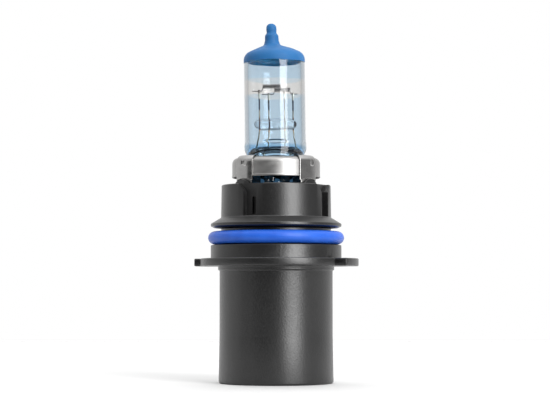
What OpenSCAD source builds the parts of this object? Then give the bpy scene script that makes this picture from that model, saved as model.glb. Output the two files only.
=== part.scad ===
// Twin-filament transverse headlight bulb: tinted glass capsule, metal holder,
// keyed plastic base with an O-ring, and a shrouded three-blade connector.
// Origin: on the bulb axis, in the plane of the flange's seating face. +Z points
// to the tip of the glass. Bearings are measured from the front (-Y) towards +X.

/* [Glass] */
// Outer diameter of the glass tube
glass_d = 15.9; // [15.5:0.1:16.2]
// Wall of the glass tube
glass_wall = 0.93; // [0.8:0.01:1.1]
// Height of the dome's crown
dome_z = 55.9; // [55:0.1:57]
// Height of the exhaust tip's end
tip_z = 61.4; // [60.5:0.1:62.5]
// Sideways offset of the exhaust tip from the tube's axis
tip_shift = 0.5; // [0:0.1:0.8]
// Lean of the exhaust tip from the tube's axis, in degrees
tip_lean = 1.6; // [0:0.2:4]
// Lean of the whole glass capsule in its holder, in degrees
capsule_lean = 0.75; // [0:0.05:1]
// Height of the coating's lower edge
coating_z = 51.2; // [50:0.1:52]
// Thickness of the coating
coating_t = 0.12; // [0.08:0.02:0.2]
// Height of the hollow's floor
hollow_z = 30.6; // [30:0.1:31.5]
// Width of the pressed seal
pinch_w = 15; // [14.4:0.1:15.2]
// Thickness of the pressed seal
pinch_t = 4.2; // [3.8:0.1:4.6]
// Height of the pressed seal's lower end
pinch_z = 15; // [14:0.5:16]

/* [Filaments and leads] */
// Height of the high beam coil's axis
high_coil_z = 44.8; // [44.5:0.1:45]
// Height of the low beam coil's axis
low_coil_z = 44.1; // [44:0.1:44.5]
// Distance between the two coils, front to back
row_pitch = 2.4; // [2:0.1:3]
// Diameter of a coil
coil_d = 1.25; // [1:0.05:1.4]
// Diameter of the filament wire
filament_d = 0.2; // [0.16:0.02:0.24]
// Turns in a coil
coil_turns = 12; // [8:1:14]
// Diameter of the inner leads
lead_d = 0.4; // [0.4:0.05:0.6]
// Diameter of the outer leads
outer_lead_d = 0.7; // [0.5:0.1:0.9]
// Length of the glass bridge
bridge_l = 11.2; // [10.8:0.1:11.6]
// Depth of the glass bridge, front to back
bridge_t = 3.6; // [3.4:0.1:4.2]

/* [Metal holder] */
// Outer diameter of the cup
cup_d = 23; // [22.4:0.1:23.2]
// Height of the cup's lower rim
cup_z = 20.95; // [20.8:0.05:21.2]
// Height of the cup's top
cup_top_z = 26.1; // [25.8:0.1:26.4]
// Thickness of the sheet metal
sheet_t = 0.42; // [0.4:0.01:0.45]
// Width of a retainer tab, as an angle
tab_angle = 28; // [22:1:32]
// Height of a tab's lower end
tab_z = 19.85; // [19.8:0.05:20.4]

/* [Base] */
// Diameter of the guide rim and of the collar under the O-ring
spigot_d = 34; // [33.8:0.1:34.2]
// Diameter of the O-ring's groove
groove_d = 28.6; // [28:0.1:29]
// Diameter of the upper body at its foot
body_d = 28.7; // [28.4:0.1:29.2]
// Height of the upper body's top
body_z = 19.05; // [18.9:0.05:19.2]
// Diameter of the flange between its lugs
flange_d = 39.4; // [38:0.1:41]
// Diameter across the flange's lugs
lug_d = 42.9; // [42:0.1:44]
// Thickness of the flange
flange_t = 2; // [1.6:0.1:2.2]
// Diameter of the connector shroud
shroud_d = 29.4; // [29:0.1:29.6]
// Depth of the shroud's rim under the seating face
rim_depth = 32.3; // [31:0.1:34]
// Wall of the connector shroud
shroud_wall = 1.8; // [1.6:0.1:2]

/* [O-ring] */
// Thickness of the O-ring
oring_t = 3.4; // [3:0.1:3.6]
// Height of the O-ring's centre
oring_z = 5.35; // [5.25:0.05:5.8]

/* [Terminals] */
// Width of a blade
blade_w = 6.3; // [4.8:0.1:6.3]
// Thickness of a blade
blade_t = 0.8; // [0.6:0.1:1]
// Distance between blades
blade_pitch = 7; // [6.5:0.1:7.5]
// Depth of the blades' tips under the seating face
blade_depth = 23; // [20:0.5:26]

/* [Hidden] */
$fn = 48;
eps = 0.01;

// Glass
glass_r = glass_d / 2;
bore_r = glass_r - glass_wall;
shoulder_r = 2.4;
dome_drop = 3;
crown_rise = 0.25;
crown_r = 2.3;
crown_bend_r = 1.2;
floor_bend_r = 1.2;
tip_root = 1.2;
tip_end_r = 1.1;
// Outline of the exhaust tip, as [radius, height above its root, corner radius]
tip_outline = [[3.1, 0, 0], [1.95, 1.4, 0.8], [1.7, 3.1, 0.6], [1.27, 4.2, 0.5]];
wedge_top_z = 29.2;
wedge_foot_z = 25.4;
wedge_bend_r = 1.5;
taper_top_z = 30.5;
taper_foot_z = 26.5;
taper_bend_r = 2;
pinch_edge_r = 0.5;
beyond = 1;

// Filaments and leads, as [top x, foot x, row] with row -1 in front and 1 behind
high_live = [-4, -5, -1];
low_common = [-1.6, -1.9, 1];
high_common = [2.5, 2.5, -1];
low_live = [4.8, 5.5, 1];
leads = [high_live, low_common, high_common, low_live];
high_coil_x = [-3.1, 1.6];
low_coil_x = [-0.1, 4.1];
coil_steps = 10;
filament_sides = 5;
grip_w = 0.55;
grip_t = 0.3;
grip_l = 2;
grip_rise = 0.35;
grip_lap = 0.2;
wire_drop = 1.25;
tail_l = 1.4;
bridge_z = 33.45;
bridge_h = 3.05;
bridge_x = 0.1;
bridge_top_z = bridge_z + bridge_h;
bend_z = 31;
knee_z = 33.15;
foil_w = 2.2;
foil_t = 0.1;
foil_top_z = 26.5;
foil_foot_z = 19.5;
join_top_z = 10.6;
join_foot_z = 6;
join_t = 0.3;
join_w = 1.4;
join_lap = 0.3;

// Metal holder
cup_r = cup_d / 2;
cup_bend_r = 1.5;
mouth_r = 8.9;
leg_z = 14;
leg_angle = 22;
tab_bearings = [-45, 45, 135, 225];
clip_z = 23.6;
clip_h = 1.2;
clamp_z = 21.4;
clamp_h = 1.8;
jaw_top_z = 24.5;
jaw_w = 11;
slot_gap = 0.3;
clip_bend_r = 0.35;

// Base
spigot_r = spigot_d / 2;
neck_r = groove_d / 2;
body_foot_r = body_d / 2;
body_top_r = body_foot_r - 0.15;
edge_r = 0.25;
rim_edge_r = 0.6;
collar_z = 3.47;
rim_foot_z = 7.9;
rim_top_z = 9;
cone_top_z = 10.7;
step_r = 15.1;
step_z = -3.05;
shroud_r = shroud_d / 2;
foot_r = shroud_r + 0.23;
foot_flare_z = -20;
well_r = 10.3;
well_z = 2;
socket_r = shroud_r - shroud_wall;
socket_z = -3;
lead_in = 0.6;
seal_z = 4.5;
boss_w = 4.6;
boss_h = 0.7;
boss_depth = 2;
arch_r = 3.4;
flute_bearings = [-28, 62, 152, 242];
flute_w = 3.7;
flute_mouth_w = 7.4;
flute_mouth_h = 2;
flute_r = 12.5;
window_w = 1.4;
window_x = 0.5;
window_r = 11.6;
window_z = [11.2, 15.6];
// Flange sectors, as [first bearing, last bearing, radius]: the disc, then its lugs
sectors = [
    [-100, 49.5, flange_d / 2], [56, 158, flange_d / 2], [164, 266, flange_d / 2],
    [56, 100, lug_d / 2], [164, 196, lug_d / 2], [238, 266, lug_d / 2]
];
key_bearings = [-60, 60, 180];
key_foot_z = -30;
key_w = 2;
key_h = 1;
nib_w = 7;
nib_h = 1.5;
nib_land = 0.8;
nib_z = [-26.5, -22];

// Terminals
blade_xs = [-blade_pitch, 0, blade_pitch];
blade_top_z = 9.5;
taper_h = 1.2;

// ---- Helpers

// Points of a round corner of radius r at b, between its neighbours a and c
function unit(v) = v / norm(v);
function corner(a, b, c, r, n = 5) =
    let (
        u = unit(a - b),
        v = unit(c - b),
        half = acos(u * v) / 2,
        centre = b + unit(u + v) * r / sin(half),
        from = b + u * r / tan(half) - centre,
        to = b + v * r / tan(half) - centre
    )
    [for (i = [0 : n]) centre + unit(from * (n - i) + to * i) * r];

// An outline given as [x, y, corner radius], with its corners rounded
function xy(p) = [p.x, p.y];
function rounded(ps) = [
    for (i = [0 : len(ps) - 1])
        let (
            a = xy(ps[(i + len(ps) - 1) % len(ps)]),
            b = xy(ps[i]),
            c = xy(ps[(i + 1) % len(ps)])
        )
        each ps[i][2] == 0 ? [b] : corner(a, b, c, ps[i][2])
];

module bearing(a) {
    rotate([0, 0, a]) children();
}

// The lean of the capsule about the pressed seal's lower end
function leaned(p) = [
    (p.x * cos(capsule_lean) - (p.z - pinch_z) * sin(capsule_lean)),
    p.y,
    pinch_z + p.x * sin(capsule_lean) + (p.z - pinch_z) * cos(capsule_lean)
];
module leaning() {
    translate([0, 0, pinch_z])
        rotate([0, -capsule_lean, 0])
            translate([0, 0, -pinch_z]) children();
}

// Rings of points swept along a path, mitred at its bends
function next_ring(ring, path, i) =
    let (
        d = unit(path[i] - path[i - 1]),
        n = i == len(path) - 1 ? d : unit(d + unit(path[i + 1] - path[i]))
    )
    [for (p = ring) p + d * ((path[i] - p) * n) / (d * n)];
function rings(path, ring, i = 1) =
    i == len(path) ? ring : concat(ring, rings(path, next_ring(ring, path, i), i + 1));

// A wire of diameter d along a path
module wire(path, d, sides = 8) {
    start = unit(path[1] - path[0]);
    u = unit(cross(start, abs(start.z) > 0.9 ? [1, 0, 0] : [0, 0, 1]));
    v = cross(start, u);
    first = [
        for (j = [0 : sides - 1])
            path[0] + (u * cos(j * 360 / sides) + v * sin(j * 360 / sides)) * d / 2
    ];
    last = (len(path) - 1) * sides;
    polyhedron(
        rings(path, first),
        concat(
            [[for (j = [0 : sides - 1]) j], [for (j = [sides - 1 : -1 : 0]) last + j]],
            [
                for (i = [0 : len(path) - 2])
                    for (j = [0 : sides - 1])
                        let (k = (j + 1) % sides, p = i * sides)
                        [p + j, p + sides + j, p + sides + k, p + k]
            ]
        )
    );
}

// A ring about Z with a plain section
module ring(r_in, r_out, z0, z1) {
    translate([0, 0, z0])
        difference() {
            cylinder(r = r_out, h = z1 - z0);
            translate([0, 0, -eps]) cylinder(r = r_in, h = z1 - z0 + 2 * eps);
        }
}

// A wedge of pie about Z, from bearing a to bearing b, less than 180 apart
module pie(a, b, r, h) {
    far = r / cos((b - a) / 4) + 1;
    linear_extrude(h)
        polygon([
            [0, 0],
            [far * sin(a), -far * cos(a)],
            [far * sin((a + b) / 2), -far * cos((a + b) / 2)],
            [far * sin(b), -far * cos(b)]
        ]);
}

// ---- Glass

// Domed tube about Z, r in radius and open to z_foot
module domed_tube(r, crown, z_foot) {
    rotate_extrude()
        polygon(rounded([
            [0, z_foot, 0],
            [r, z_foot, 0],
            [r, crown - dome_drop, shoulder_r],
            [crown_r, crown - crown_rise, crown_bend_r],
            [0, crown, 0]
        ]));
}

// Sealed-off end of the exhaust tube, on the crown of the dome
module exhaust_tip(grow) {
    root_z = dome_z - tip_root;
    top = tip_z - root_z + grow;
    end_r = tip_outline[len(tip_outline) - 1].x;
    translate([-tip_shift, 0, root_z])
        rotate([0, -tip_lean, 0])
            rotate_extrude()
                polygon(rounded(concat(
                    [[0, 0, 0]],
                    [for (p = tip_outline) [p.x + grow, p.y, p.z]],
                    [[end_r + grow, top, tip_end_r], [0, top, 0]]
                )));
}

module glass_skin(grow) {
    domed_tube(glass_r + grow, dome_z + grow, pinch_z);
    exhaust_tip(grow);
}

// Plate that keeps the tube above top_z and narrows to half its width at foot_z
module press(half, foot_z, top_z, bend_r) {
    wide = glass_r + beyond;
    end_z = tip_z + beyond;
    linear_extrude(2 * wide, center = true)
        polygon(rounded([
            [-half, pinch_z, pinch_edge_r],
            [half, pinch_z, pinch_edge_r],
            [half, foot_z, bend_r],
            [wide, top_z, 0],
            [wide, end_z, 0],
            [-wide, end_z, 0],
            [-wide, top_z, 0],
            [-half, foot_z, bend_r]
        ]));
}

// Side view of the tube as it is pressed flat, front to back
module press_wedge() {
    rotate([90, 0, 90]) press(pinch_t / 2, wedge_foot_z, wedge_top_z, wedge_bend_r);
}

// Front view of the tube as it narrows to the pressed seal
module press_outline() {
    rotate([90, 0, 0]) press(pinch_w / 2, taper_foot_z, taper_top_z, taper_bend_r);
}

// Gas space inside the glass
module hollow() {
    inner_crown = dome_z - glass_wall;
    rotate_extrude()
        polygon(rounded([
            [0, hollow_z, 0],
            [bore_r, hollow_z, floor_bend_r],
            [bore_r, inner_crown - dome_drop, shoulder_r - glass_wall],
            [crown_r, inner_crown - crown_rise, crown_bend_r],
            [0, inner_crown, 0]
        ]));
}

module glass_envelope() {
    color([0.68, 0.8, 0.9, 0.45])
        leaning()
            difference() {
                intersection() {
                    glass_skin(0);
                    press_wedge();
                    press_outline();
                }
                hollow();
                for (l = leads) {
                    wire(lead_path(l, bridge_top_z + beyond), lead_d);
                    foil(l);
                    wire([[l[1], 0, foil_foot_z], [l[1], 0, pinch_z - beyond]], outer_lead_d);
                }
            }
}

module tip_coating() {
    color([0.24, 0.5, 0.78])
        leaning()
            difference() {
                glass_skin(coating_t);
                glass_skin(0);
                translate([-glass_d, -glass_d, 0]) cube([2 * glass_d, 2 * glass_d, coating_z]);
            }
}

// ---- Filaments and leads

function row_y(lead) = lead[2] * row_pitch / 2;
function grip_z(coil_z) = coil_z - wire_drop;

// Filament wire: a tail past the first lead, the coil about X, a tail past the second
module filament(xs, coil_z, leads) {
    r = (coil_d - filament_d) / 2;
    y = row_y(leads[0]) - (grip_t + filament_d) / 2 - eps;
    z = grip_z(coil_z);
    steps = coil_turns * coil_steps;
    winding = [
        for (i = [0 : steps])
            let (a = i * 360 / coil_steps - 90)
            [xs[0] + (xs[1] - xs[0]) * i / steps, y + r * cos(a), coil_z + r * sin(a)]
    ];
    path = concat(
        [[leads[0][0] - tail_l, y, z], [leads[0][0] + grip_w, y, z]],
        winding,
        [[leads[1][0] - grip_w, y, z], [leads[1][0] + tail_l, y, z]]
    );
    color("dimgray") leaning() wire(path, filament_d, filament_sides);
}

module high_beam_filament() {
    filament(high_coil_x, high_coil_z, [high_live, high_common]);
}

module low_beam_filament() {
    filament(low_coil_x, low_coil_z, [low_common, low_live]);
}

// Route of a lead from its foil, through the floor and the bridge, to its top
function lead_path(lead, top) = [
    [lead[1], 0, foil_top_z],
    [lead[1], 0, bend_z],
    [lead[0], row_y(lead), knee_z],
    [lead[0], row_y(lead), top]
];

// Lead with a flattened top that grips the filament wire
module inner_lead(lead, coil_z) {
    grip_foot_z = grip_z(coil_z) + grip_rise - grip_l;
    color([0.62, 0.58, 0.52])
        leaning() {
            wire(lead_path(lead, grip_foot_z + grip_lap), lead_d);
            translate([lead[0] - grip_w / 2, row_y(lead) - grip_t / 2, grip_foot_z])
                cube([grip_w, grip_t, grip_l]);
        }
}

module high_beam_live_lead() {
    inner_lead(high_live, high_coil_z);
}

module high_beam_common_lead() {
    inner_lead(high_common, high_coil_z);
}

module low_beam_common_lead() {
    inner_lead(low_common, low_coil_z);
}

module low_beam_live_lead() {
    inner_lead(low_live, low_coil_z);
}

// Glass bar that holds the four leads apart
module glass_bridge() {
    end_r = bridge_t / 2;
    color([0.85, 0.92, 0.96, 0.5])
        leaning()
            difference() {
                translate([bridge_x, 0, bridge_z]) {
                    for (s = [-1, 1])
                        translate([s * (bridge_l / 2 - end_r), 0, 0])
                            cylinder(r = end_r, h = bridge_h);
                    translate([end_r - bridge_l / 2, -end_r, 0])
                        cube([bridge_l - bridge_t, bridge_t, bridge_h]);
                }
                for (l = leads) wire(lead_path(l, bridge_top_z + beyond), lead_d);
            }
}

// Thin strip that carries the current through the pressed seal
module foil(lead) {
    translate([lead[1] - foil_w / 2, -foil_t / 2, foil_foot_z])
        cube([foil_w, foil_t, foil_top_z - foil_foot_z]);
}

module high_live_foil() {
    color("silver") leaning() foil(high_live);
}

module high_common_foil() {
    color("silver") leaning() foil(high_common);
}

module low_common_foil() {
    color("silver") leaning() foil(low_common);
}

module low_live_foil() {
    color("silver") leaning() foil(low_live);
}

// Lead from a foil's foot to the flat end that is welded on a blade's near face
module outer_lead(lead, blade_x) {
    x = blade_x + sign(lead[1] - blade_x) * (blade_t + join_t) / 2;
    color([0.75, 0.73, 0.7]) {
        wire([
            leaned([lead[1], 0, foil_foot_z]),
            leaned([lead[1], 0, pinch_z - beyond]),
            [x, 0, join_top_z - join_lap]
        ], outer_lead_d);
        translate([x - join_t / 2, -join_w / 2, join_foot_z])
            cube([join_t, join_w, join_top_z - join_foot_z]);
    }
}

module high_live_outer_lead() {
    outer_lead(high_live, -blade_pitch);
}

module high_common_outer_lead() {
    outer_lead(high_common, 0);
}

module low_common_outer_lead() {
    outer_lead(low_common, 0);
}

module low_live_outer_lead() {
    outer_lead(low_live, blade_pitch);
}

// ---- Metal holder

// Legs that anchor the cup in the plastic
module cup_legs(top) {
    for (a = tab_bearings)
        intersection() {
            ring(cup_r - sheet_t, cup_r, leg_z, top);
            translate([0, 0, leg_z]) pie(a - leg_angle / 2, a + leg_angle / 2, cup_r, top - leg_z);
        }
}

// Ring with a rounded shoulder, turned in at the top to a wide mouth
module bulb_cup() {
    color([0.72, 0.72, 0.7]) {
        rotate_extrude()
            polygon(rounded([
                [cup_r - sheet_t, cup_z, 0],
                [cup_r, cup_z, 0],
                [cup_r, cup_top_z, cup_bend_r],
                [mouth_r, cup_top_z, 0],
                [mouth_r, cup_top_z - sheet_t, 0],
                [cup_r - sheet_t, cup_top_z - sheet_t, cup_bend_r - sheet_t]
            ]));
        cup_legs(cup_z + eps);
    }
}

// Inner ring with four tabs folded over the cup's mouth and down its outside
module retainer_clip() {
    in_r = mouth_r - sheet_t;
    out_r = cup_r + sheet_t;
    top_z = cup_top_z + sheet_t;
    color([0.8, 0.8, 0.78]) {
        ring(in_r, mouth_r, clip_z, clip_z + clip_h);
        intersection() {
            rotate_extrude()
                polygon(rounded([
                    [cup_r, tab_z, 0],
                    [out_r, tab_z, 0],
                    [out_r, top_z, cup_bend_r + sheet_t],
                    [in_r, top_z, clip_bend_r],
                    [in_r, clip_z, 0],
                    [mouth_r, clip_z, 0],
                    [mouth_r, cup_top_z, 0],
                    [cup_r, cup_top_z, cup_bend_r]
                ]));
            for (a = tab_bearings)
                translate([0, 0, tab_z - beyond])
                    pie(
                        a - tab_angle / 2, a + tab_angle / 2, out_r,
                        top_z - tab_z + 2 * beyond
                    );
        }
    }
}

// Web inside the cup with a slot and two jaws that grip the pressed seal
module pinch_clamp() {
    r = cup_r - sheet_t;
    top = clamp_z + clamp_h;
    color([0.66, 0.66, 0.64])
        difference() {
            union() {
                ring(r - sheet_t, r, clamp_z, top);
                translate([0, 0, top - sheet_t]) cylinder(r = r, h = sheet_t);
                translate([-jaw_w / 2, -pinch_t / 2 - sheet_t, top - sheet_t])
                    cube([jaw_w, pinch_t + 2 * sheet_t, jaw_top_z - top + sheet_t]);
            }
            translate([-pinch_w / 2 - slot_gap, -pinch_t / 2, clamp_z])
                cube([pinch_w + 2 * slot_gap, pinch_t, jaw_top_z]);
        }
}

// ---- Base

module base_outline() {
    rotate_extrude()
        polygon(rounded([
            [0, -rim_depth, 0],
            [foot_r, -rim_depth, rim_edge_r],
            [shroud_r, foot_flare_z, 0],
            [shroud_r, step_z, 0],
            [step_r, step_z, edge_r],
            [step_r, -flange_t, 0],
            [spigot_r, -flange_t, 0],
            [spigot_r, collar_z, edge_r],
            [neck_r, collar_z, 0],
            [neck_r, rim_foot_z, 0],
            [spigot_r, rim_foot_z, 0],
            [spigot_r, rim_top_z, edge_r],
            [body_foot_r, cone_top_z, edge_r],
            [body_top_r, body_z, edge_r],
            [0, body_z, 0]
        ]));
}

// Keyed flange: a disc with three wider lugs and a gap beside two of them
module flange() {
    translate([0, 0, -flange_t])
        for (s = sectors)
            intersection() {
                cylinder(r = s[2], h = flange_t);
                pie(s[0], s[1], s[2], flange_t);
            }
}

// Arched pad around a cup leg
module boss() {
    top_z = body_z + boss_h;
    translate([0, -cup_r, 0])
        intersection() {
            translate([-boss_w / 2, -boss_depth / 2, body_z - beyond])
                cube([boss_w, boss_depth, boss_h + beyond]);
            translate([0, 0, top_z - arch_r])
                rotate([90, 0, 0])
                    cylinder(r = arch_r, h = boss_depth + beyond, center = true);
        }
}

// Upright channel with a funnel mouth and a window in its floor
module flute() {
    reach = body_foot_r - flute_r + beyond;
    translate([-flute_w / 2, -flute_r - reach, cone_top_z])
        cube([flute_w, reach, body_z - cone_top_z + beyond]);
    translate([0, -flute_r, 0])
        rotate([90, 0, 0])
            linear_extrude(reach)
                polygon([
                    [-flute_mouth_w / 2, body_z + eps],
                    [-flute_w / 2, body_z - flute_mouth_h],
                    [flute_w / 2, body_z - flute_mouth_h],
                    [flute_mouth_w / 2, body_z + eps]
                ]);
    translate([window_x - window_w / 2, -flute_r - eps, window_z[0]])
        cube([window_w, flute_r - window_r + eps, window_z[1] - window_z[0]]);
}

// Ramp that the plug's latch snaps over
module latch_nib() {
    rotate([90, 0, 90])
        linear_extrude(nib_w, center = true)
            polygon([
                [-socket_r - beyond, nib_z[0]],
                [-shroud_r - nib_h, nib_z[1] - nib_land],
                [-shroud_r - nib_h, nib_z[1]],
                [-socket_r - beyond, nib_z[1]]
            ]);
}

// Socket for the harness plug, with its keys left standing
module socket() {
    difference() {
        union() {
            translate([0, 0, -rim_depth - beyond])
                cylinder(r = socket_r, h = socket_z + rim_depth + beyond);
            translate([0, 0, -rim_depth - eps])
                cylinder(r1 = socket_r + lead_in, r2 = socket_r, h = lead_in);
        }
        for (a = key_bearings)
            bearing(a)
                translate([-key_w / 2, -socket_r - beyond, key_foot_z])
                    cube([key_w, key_h + beyond, socket_z - key_foot_z + beyond]);
    }
}

module base_body() {
    color([0.17, 0.17, 0.17])
        difference() {
            union() {
                base_outline();
                flange();
                for (a = tab_bearings) bearing(a) boss();
                bearing(180) latch_nib();
            }
            socket();
            translate([0, 0, well_z]) cylinder(r = well_r, h = body_z);
            cup_legs(cup_z);
            for (a = flute_bearings) bearing(a) flute();
            for (x = blade_xs) blade(x);
        }
}

module o_ring() {
    color([0.2, 0.4, 0.82])
        rotate_extrude()
            translate([neck_r + oring_t / 2, oring_z]) circle(d = oring_t);
}

// ---- Terminals

// Flat blade in the plane x, with a tapered tip
module blade(x) {
    w = blade_w / 2;
    translate([x, 0, 0])
        rotate([90, 0, 90])
            linear_extrude(blade_t, center = true)
                polygon([
                    [-w, blade_top_z],
                    [w, blade_top_z],
                    [w, taper_h - blade_depth],
                    [w - taper_h, -blade_depth],
                    [taper_h - w, -blade_depth],
                    [-w, taper_h - blade_depth]
                ]);
}

module high_beam_terminal() {
    color([0.8, 0.68, 0.4]) blade(blade_xs[0]);
}

module common_terminal() {
    color([0.8, 0.68, 0.4]) blade(blade_xs[1]);
}

module low_beam_terminal() {
    color([0.8, 0.68, 0.4]) blade(blade_xs[2]);
}

// Sealant cast round the blades in the bottom of the well
module terminal_seal() {
    color([0.3, 0.3, 0.32])
        difference() {
            translate([0, 0, well_z]) cylinder(r = well_r, h = seal_z - well_z);
            for (x = blade_xs) blade(x);
        }
}

glass_envelope();
tip_coating();
high_beam_filament();
low_beam_filament();
high_beam_live_lead();
high_beam_common_lead();
low_beam_common_lead();
low_beam_live_lead();
glass_bridge();
high_live_foil();
high_common_foil();
low_common_foil();
low_live_foil();
high_live_outer_lead();
high_common_outer_lead();
low_common_outer_lead();
low_live_outer_lead();
bulb_cup();
retainer_clip();
pinch_clamp();
base_body();
o_ring();
high_beam_terminal();
common_terminal();
low_beam_terminal();
terminal_seal();
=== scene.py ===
"""Looks for the twin-filament headlight bulb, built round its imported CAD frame.

Pieces are modelled in millimetres in the row frame, and settle() brings them to metres.
Bearings are measured from the front (-Y) towards +X, in degrees.
"""
import math

import bmesh
import bpy
from mathutils import Matrix, Vector


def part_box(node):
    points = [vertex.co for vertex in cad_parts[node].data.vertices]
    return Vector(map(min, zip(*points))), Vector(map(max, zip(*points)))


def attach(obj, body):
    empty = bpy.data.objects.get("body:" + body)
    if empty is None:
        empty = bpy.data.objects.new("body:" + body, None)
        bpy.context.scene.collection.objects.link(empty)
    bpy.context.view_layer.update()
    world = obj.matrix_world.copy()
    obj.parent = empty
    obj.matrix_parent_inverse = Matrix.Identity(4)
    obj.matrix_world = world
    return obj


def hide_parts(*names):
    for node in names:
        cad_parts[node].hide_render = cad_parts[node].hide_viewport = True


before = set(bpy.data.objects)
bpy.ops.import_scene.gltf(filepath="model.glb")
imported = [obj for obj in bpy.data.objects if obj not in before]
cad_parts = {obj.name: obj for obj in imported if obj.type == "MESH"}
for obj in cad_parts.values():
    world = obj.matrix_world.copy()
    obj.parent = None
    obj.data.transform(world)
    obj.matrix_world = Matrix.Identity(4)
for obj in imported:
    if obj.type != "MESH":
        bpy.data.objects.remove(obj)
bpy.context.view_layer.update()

MM = 0.001


def span(node):
    """Lowest and highest corner of a CAD node, in millimetres."""
    low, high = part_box(node)
    return low / MM, high / MM


# ---- Sizes, in millimetres, from the frame where a node's box gives them

BASE_LOW = span("base_body")[0]
CUP_LOW, CUP_HIGH = span("bulb_cup")
CLIP_LOW, CLIP_HIGH = span("retainer_clip")
RING_LOW, RING_HIGH = span("o_ring")
SEAL_LOW, SEAL_HIGH = span("terminal_seal")
CLAMP_LOW, CLAMP_HIGH = span("pinch_clamp")
BLADE_LOW, BLADE_HIGH = span("common_terminal")

# Capsule
GLASS_R = 7.95
WALL = 0.93
PINCH_Z = 15.0
PINCH_HALF_W = 7.5
PINCH_HALF_T = 2.1
LEAN = 0.75
COAT_Z = 51.2
COAT_T = 0.06
TIP_Z = 61.4
TIP_SHIFT = 0.5
TIP_LEAN = 1.6
TUBE_TOP = 50.6
DOME_Z = 54.7
FLOOR_Z = 26.7
FLOOR_EDGE_Z = 28.8
ROUND_FRONT_Z, ROUND_SIDE_Z = 23.9, 25.8
BAND_Z = (42.5, 46.5)
CAPSULE_SIDES = 128

# Leads, as top x, foot x, row (-1 in front, 1 behind), height of the gripped wire
ROW_Y = 1.2
LEADS = {
    "high_beam_live_lead": (-4.0, -5.0, -1, 43.55),
    "low_beam_common_lead": (-1.6, -1.9, 1, 42.95),
    "high_beam_common_lead": (2.5, 2.5, -1, 43.55),
    "low_beam_live_lead": (4.8, 5.5, 1, 42.95),
}
LEAD_R = 0.2
COIL_SET = 0.28
BEND_Z = 31.3
BRIDGE_Z = (33.45, 36.5)

# Metal holder
CUP_R = CUP_HIGH.x
MOUTH_R = 8.9
SHEET = 0.42
TAB_BEARINGS = (-45, 45, 135, 225)
TAB_HALF = 14.0
LEG_HALF = 11.0

# Base
SPIGOT_R = 17.0
NECK_R = 14.3
SHROUD_R = 14.7
SOCKET_R = 12.9
WELL_R = 10.3
BODY_Z = 19.05
FLUTES = (-28, 62, 152, 242)
KEYS = (-60, 60, 180)
FLANGE_SPANS = (
    (-94, 49.5, 19.7), (49.5, 56, 16.8), (56, 100, 21.45), (100, 158, 19.7),
    (158, 164, 16.8), (164, 196, 21.45), (196, 238, 19.7), (238, 266, 21.45),
)


# ---- Mesh kit

def make(name, verts, faces):
    """An object in the scene with this mesh, its normals made consistent."""
    mesh = bpy.data.meshes.new(name)
    mesh.from_pydata([tuple(v) for v in verts], [], faces)
    mesh.validate()
    piece = bpy.data.objects.new(name, mesh)
    bpy.context.scene.collection.objects.link(piece)
    recalculate(piece)
    return piece


def recalculate(piece, inside=False):
    """Turns every face outwards, or inwards for the skin of a hollow."""
    work = bmesh.new()
    work.from_mesh(piece.data)
    bmesh.ops.recalc_face_normals(work, faces=work.faces)
    if inside:
        bmesh.ops.reverse_faces(work, faces=work.faces)
    work.to_mesh(piece.data)
    work.free()


def corner(a, b, c, radius, steps):
    """Points of a round corner at b, between its neighbours a and c, or b where they lie in line."""
    a, b, c = Vector(a), Vector(b), Vector(c)
    u, v = (a - b).normalized(), (c - b).normalized()
    if (u + v).length < 0.001:
        return [b]
    half = math.acos(max(-1, min(1, u.dot(v)))) / 2
    centre = b + (u + v).normalized() * radius / math.sin(half)
    start = b + u * radius / math.tan(half) - centre
    end = b + v * radius / math.tan(half) - centre
    return [
        centre + (start * (steps - i) + end * i).normalized() * radius
        for i in range(steps + 1)
    ]


def rounded(points, steps=6, closed=True):
    """An outline given as (x, y, corner radius), with its corners rounded."""
    outline = []
    last = len(points) - 1
    for i, (x, y, radius) in enumerate(points):
        if not radius or (not closed and i in (0, last)):
            outline.append(Vector((x, y)))
            continue
        before, after = points[i - 1], points[(i + 1) % len(points)]
        outline += corner(before[:2], (x, y), after[:2], radius, steps)
    return outline


def polar(radius, bearing, z):
    """The point at this bearing from the front."""
    a = math.radians(bearing)
    return Vector((radius * math.sin(a), -radius * math.cos(a), z))


def lathe(name, outline, bearings=None, open_sweep=False):
    """Turns a closed (radius, z) outline about Z, all round or from the first bearing to the last."""
    bearings = bearings or even(0, 360, 180)[:-1]
    tiny = 1e-6
    verts, index = [], []
    for r, z in outline:
        if r < tiny:
            index.append([len(verts)] * len(bearings))
            verts.append((0, 0, z))
        else:
            index.append([len(verts) + k for k in range(len(bearings))])
            verts += [polar(r, b, z) for b in bearings]
    faces = []
    n, m = len(outline), len(bearings)
    for i in range(n):
        row, after = index[i], index[(i + 1) % n]
        for k in range(m - 1 if open_sweep else m):
            j = (k + 1) % m
            face = list(dict.fromkeys((row[k], row[j], after[j], after[k])))
            if len(face) > 2:
                faces.append(face)
    if open_sweep:
        faces.append([row[0] for row in index])
        faces.append([row[-1] for row in index])
    return make(name, verts, faces)


def even(first, last, steps):
    return [first + (last - first) * i / steps for i in range(steps + 1)]


def angles(count):
    """Angles in radians, evenly round a full turn."""
    return [2 * math.pi * k / count for k in range(count)]


def loft(name, rings, capped=True):
    """Skins closed rings of equal length, with a fan or cap at each end."""
    verts = [p for ring in rings for p in ring]
    n = len(rings[0])
    faces = [
        (i * n + k, i * n + (k + 1) % n, (i + 1) * n + (k + 1) % n, (i + 1) * n + k)
        for i in range(len(rings) - 1)
        for k in range(n)
    ]
    if capped:
        faces.append(list(range(n)))
        faces.append(list(range(len(verts) - n, len(verts))))
    return make(name, verts, faces)


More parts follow.
